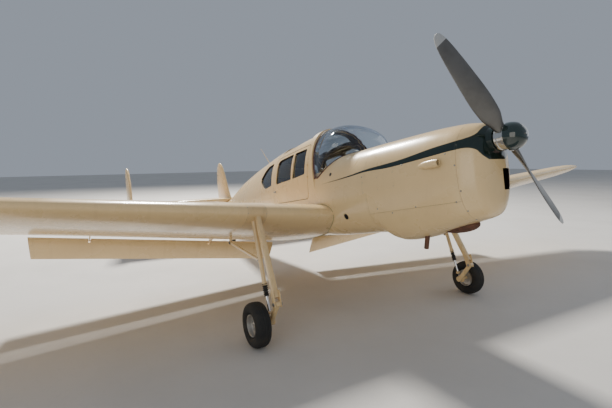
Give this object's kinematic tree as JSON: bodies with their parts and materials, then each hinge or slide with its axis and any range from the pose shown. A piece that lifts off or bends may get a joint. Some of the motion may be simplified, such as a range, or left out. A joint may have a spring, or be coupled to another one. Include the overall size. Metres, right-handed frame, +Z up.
{
  "type": "light liaison aircraft",
  "caption": "Low-wing cabin monoplane with an in-line engine, fixed levered gear, drooped external flaps, twin end-plate rudders and a tail wheel, parked with its doors shut.",
  "frame": {"origin": "centre of the base of the parked aircraft's box, on the ground below its mid length", "axes": "+X towards the nose, +Y to port along the span, +Z up"},
  "size_m": [7.3014, 11.02, 2.5994],
  "materials": {
    "cream_paint": "glossy cream paint, slightly weathered",
    "green_paint": "glossy dark green paint",
    "clear_panel": "clear acrylic sheet",
    "tyre_rubber": "black rubber",
    "wheel_alloy": "dull cast alloy",
    "blade_metal": "grey satin metal",
    "engine_metal": "dark cast block",
    "hot_steel": "brown heat-stained steel",
    "seat_leather": "dark maroon leather",
    "cabin_dark": "dark brown matt trim"
  },
  "bodies": {
    "airframe": {"cabin_shell": "cream_paint", "quarter_glass_port": "clear_panel", "quarter_glass_starboard": "clear_panel", "roof_glass": "clear_panel", "windscreen": "clear_panel", "rear_fuselage": "cream_paint", "instrument_panel": "cabin_dark", "front_seat_port": "seat_leather", "front_seat_starboard": "seat_leather", "rear_bench": "seat_leather", "control_column": "cabin_dark", "cowl_upper": "cream_paint", "cowl_lower": "cream_paint", "cooling_outlet": "hot_steel", "nose_bowl": "cream_paint", "engine_block": "engine_metal", "exhaust_stub": "hot_steel", "wing_port": "cream_paint", "wing_starboard": "cream_paint", "tailplane": "cream_paint", "end_fin_port": "cream_paint", "end_fin_starboard": "cream_paint", "centre_fin": "cream_paint", "main_leg_port": "cream_paint", "main_leg_starboard": "cream_paint", "trailing_arm_port": "cream_paint", "trailing_arm_starboard": "cream_paint", "shock_strut_port": "cream_paint", "shock_strut_starboard": "cream_paint", "drag_brace_port": "cream_paint", "drag_brace_starboard": "cream_paint", "tail_wheel_leg": "cream_paint", "whip_aerial": "cream_paint"},
    "door_port": {"door_port": "cream_paint", "door_glass_port": "clear_panel"},
    "door_starboard": {"door_starboard": "cream_paint", "door_glass_starboard": "clear_panel"},
    "propeller": {"propeller": "blade_metal", "spinner": "green_paint"},
    "main_wheel_port": {"main_wheel_port": "wheel_alloy", "main_tyre_port": "tyre_rubber"},
    "main_wheel_starboard": {"main_wheel_starboard": "wheel_alloy", "main_tyre_starboard": "tyre_rubber"},
    "tail_wheel_fork": {"tail_wheel_fork": "cream_paint"},
    "tail_wheel": {"tail_wheel": "tyre_rubber"},
    "elevator": {"elevator_port": "cream_paint", "elevator_starboard": "cream_paint"},
    "rudder_port": {"rudder_port": "cream_paint"},
    "rudder_starboard": {"rudder_starboard": "cream_paint"},
    "aileron_port": {"aileron_port": "cream_paint"},
    "aileron_starboard": {"aileron_starboard": "cream_paint"},
    "flap_port": {"flap_port": "cream_paint"},
    "flap_starboard": {"flap_starboard": "cream_paint"}
  },
  "joints": [
    {"name": "propeller_spin", "type": "hinge", "parent": "airframe", "child": "propeller", "pos_m": [3.48514, 0, 1.89135], "axis": [0.9877, 0, 0.1564], "continuous": true},
    {"name": "main_wheel_port_spin", "type": "hinge", "parent": "airframe", "child": "main_wheel_port", "pos_m": [2.03034, 1.475, 0.21146], "axis": [0, 1, 0], "continuous": true},
    {"name": "main_wheel_starboard_spin", "type": "hinge", "parent": "airframe", "child": "main_wheel_starboard", "pos_m": [2.03034, -1.475, 0.21146], "axis": [0, 1, 0], "continuous": true},
    {"name": "tail_wheel_castor", "type": "hinge", "parent": "airframe", "child": "tail_wheel_fork", "pos_m": [-2.63466, 0, 0.27846], "axis": [0, 0, 1], "continuous": true},
    {"name": "tail_wheel_spin", "type": "hinge", "parent": "tail_wheel_fork", "child": "tail_wheel", "pos_m": [-2.71966, 0, 0.12346], "axis": [0, 1, 0], "continuous": true},
    {"name": "elevator_hinge", "type": "hinge", "parent": "airframe", "child": "elevator", "pos_m": [-3.25024, 0, 0.86506], "axis": [0, 1, 0], "range_deg": [-22, 28]},
    {"name": "rudder_port_hinge", "type": "hinge", "parent": "airframe", "child": "rudder_port", "pos_m": [-3.29962, 1.924, 0.85724], "axis": [-0.1564, 0, 0.9877], "range_deg": [-25, 25]},
    {"name": "rudder_starboard_hinge", "type": "hinge", "parent": "airframe", "child": "rudder_starboard", "pos_m": [-3.29962, -1.924, 0.85724], "axis": [-0.1564, 0, 0.9877], "range_deg": [-25, 25]},
    {"name": "aileron_port_hinge", "type": "hinge", "parent": "airframe", "child": "aileron_port", "pos_m": [0.41577, 4.2, 1.16639], "axis": [0.0259, 0.9916, 0.1265], "range_deg": [-20, 20]},
    {"name": "aileron_starboard_hinge", "type": "hinge", "parent": "airframe", "child": "aileron_starboard", "pos_m": [0.41577, -4.2, 1.16639], "axis": [-0.0259, 0.9916, -0.1265], "range_deg": [-20, 20]},
    {"name": "flap_port_hinge", "type": "hinge", "parent": "airframe", "child": "flap_port", "pos_m": [0.04583, 1.855, 0.70695], "axis": [0.0248, 0.991, 0.1314], "range_deg": [0, 44]},
    {"name": "flap_starboard_hinge", "type": "hinge", "parent": "airframe", "child": "flap_starboard", "pos_m": [0.04583, -1.855, 0.70695], "axis": [-0.0248, 0.991, -0.1314], "range_deg": [0, 44]},
    {"name": "door_port_hinge", "type": "hinge", "parent": "airframe", "child": "door_port", "pos_m": [1.26437, 0.4703, 1.60643], "axis": [0.1554, 0.116, -0.981], "range_deg": [0, 65]},
    {"name": "door_starboard_hinge", "type": "hinge", "parent": "airframe", "child": "door_starboard", "pos_m": [1.26437, -0.4703, 1.60643], "axis": [-0.1554, 0.116, 0.981], "range_deg": [0, 65]}
  ],
  "couplings": [
    {"joint": "aileron_starboard_hinge", "follows": "aileron_port_hinge", "ratio": -1},
    {"joint": "flap_starboard_hinge", "follows": "flap_port_hinge", "ratio": 1},
    {"joint": "rudder_starboard_hinge", "follows": "rudder_port_hinge", "ratio": 1}
  ]
}
